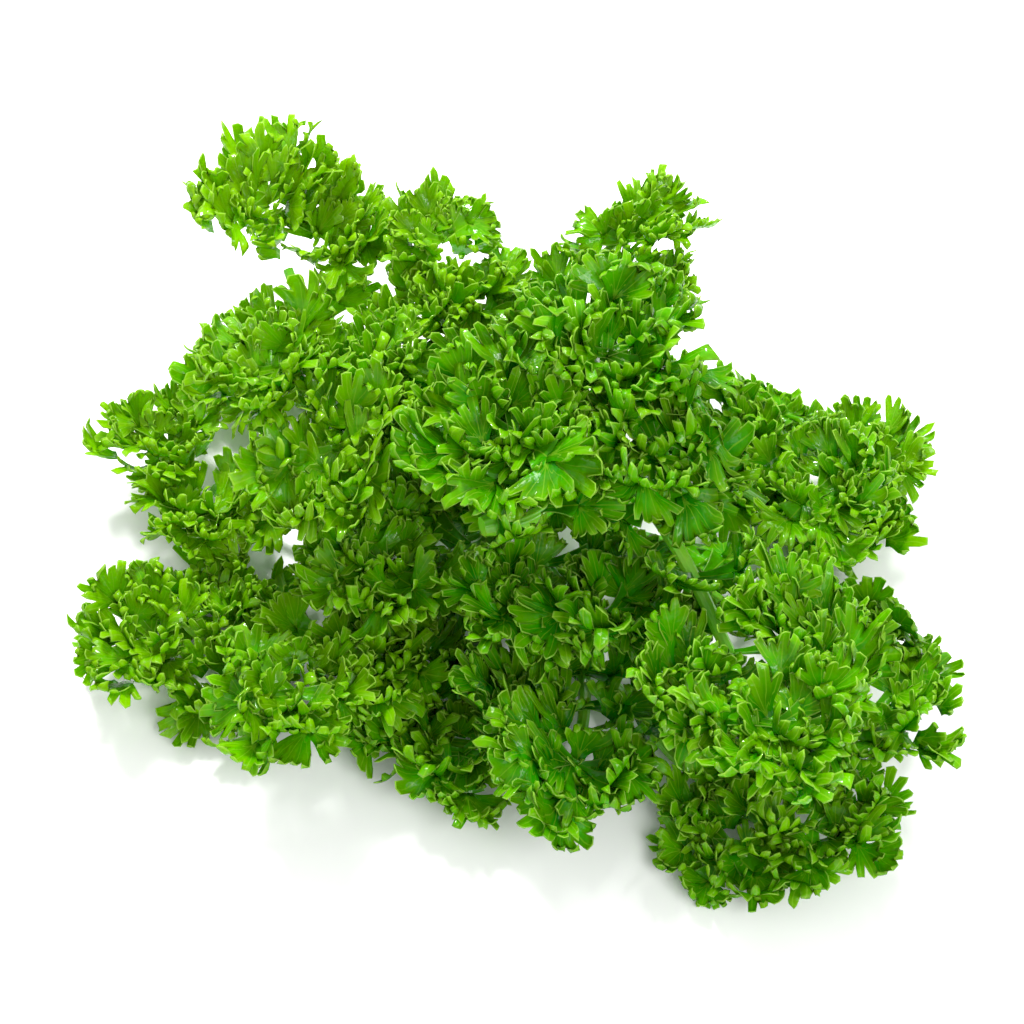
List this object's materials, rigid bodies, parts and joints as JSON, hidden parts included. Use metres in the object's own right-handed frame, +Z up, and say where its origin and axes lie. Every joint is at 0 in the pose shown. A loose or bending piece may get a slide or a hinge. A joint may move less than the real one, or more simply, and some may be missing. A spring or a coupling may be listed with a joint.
{
  "type": "curly parsley bunch",
  "caption": "Loose bunch of curly parsley lying down, a heap of sprigs with crossing cut stems and frilled, tightly curled leaflets.",
  "frame": {"origin": "centre of the heap's footprint, on the surface that the bunch lies on", "axes": "+Z up, the shortest way through the heap; the viewer looks along +Y, with +X to the right; the stems cross near the Z axis and the heads point outwards"},
  "size_m": [0.1788, 0.1796, 0.0701],
  "materials": {
    "leaf": "fresh curly parsley leaf: green, waxy and slightly wet, with a soft shine and light passing through it, paler yellow-green at the lobe edges",
    "stem": "fresh parsley stem: pale green, smooth with fine lengthwise ridges and a soft shine"
  },
  "bodies": {
    "root": {"back_left_leaflet_right": "leaf", "back_left_leaflet_tip": "leaf", "back_left_stem": "stem", "back_middle_leaflet_left": "leaf", "back_middle_leaflet_tip": "leaf", "back_middle_stem": "stem", "back_right_leaflet_right": "leaf", "back_right_leaflet_tip": "leaf", "back_right_stem": "stem", "centre_low_leaflet_right": "leaf", "centre_low_leaflet_tip": "leaf", "centre_low_stem": "stem", "crown_leaflet_left": "leaf", "crown_leaflet_right": "leaf", "crown_leaflet_tip": "leaf", "crown_stem": "stem", "front_centre_leaflet_right": "leaf", "front_centre_leaflet_tip": "leaf", "front_centre_stem": "stem", "front_high_leaflet_right": "leaf", "front_high_leaflet_tip": "leaf", "front_high_stem": "stem", "front_left_leaflet_left": "leaf", "front_left_leaflet_tip": "leaf", "front_left_stem": "stem", "front_middle_leaflet_right": "leaf", "front_middle_leaflet_tip": "leaf", "front_middle_stem": "stem", "front_right_leaflet_left": "leaf", "front_right_leaflet_right": "leaf", "front_right_leaflet_tip": "leaf", "front_right_stem": "stem", "left_high_leaflet_right": "leaf", "left_high_leaflet_tip": "leaf", "left_high_stem": "stem", "left_low_leaflet_left": "leaf", "left_low_leaflet_right": "leaf", "left_low_leaflet_tip": "leaf", "left_low_stem": "stem", "left_middle_leaflet_left": "leaf", "left_middle_leaflet_tip": "leaf", "left_middle_stem": "stem", "left_top_leaflet_left": "leaf", "left_top_leaflet_right": "leaf", "left_top_leaflet_tip": "leaf", "left_top_stem": "stem", "right_high_leaflet_left": "leaf", "right_high_leaflet_right": "leaf", "right_high_leaflet_tip": "leaf", "right_high_stem": "stem", "right_low_leaflet_left": "leaf", "right_low_leaflet_tip": "leaf", "right_low_stem": "stem", "right_middle_leaflet_left": "leaf", "right_middle_leaflet_tip": "leaf", "right_middle_stem": "stem", "right_top_leaflet_left": "leaf", "right_top_leaflet_right": "leaf", "right_top_leaflet_tip": "leaf", "right_top_stem": "stem"}
  },
  "joints": []
}
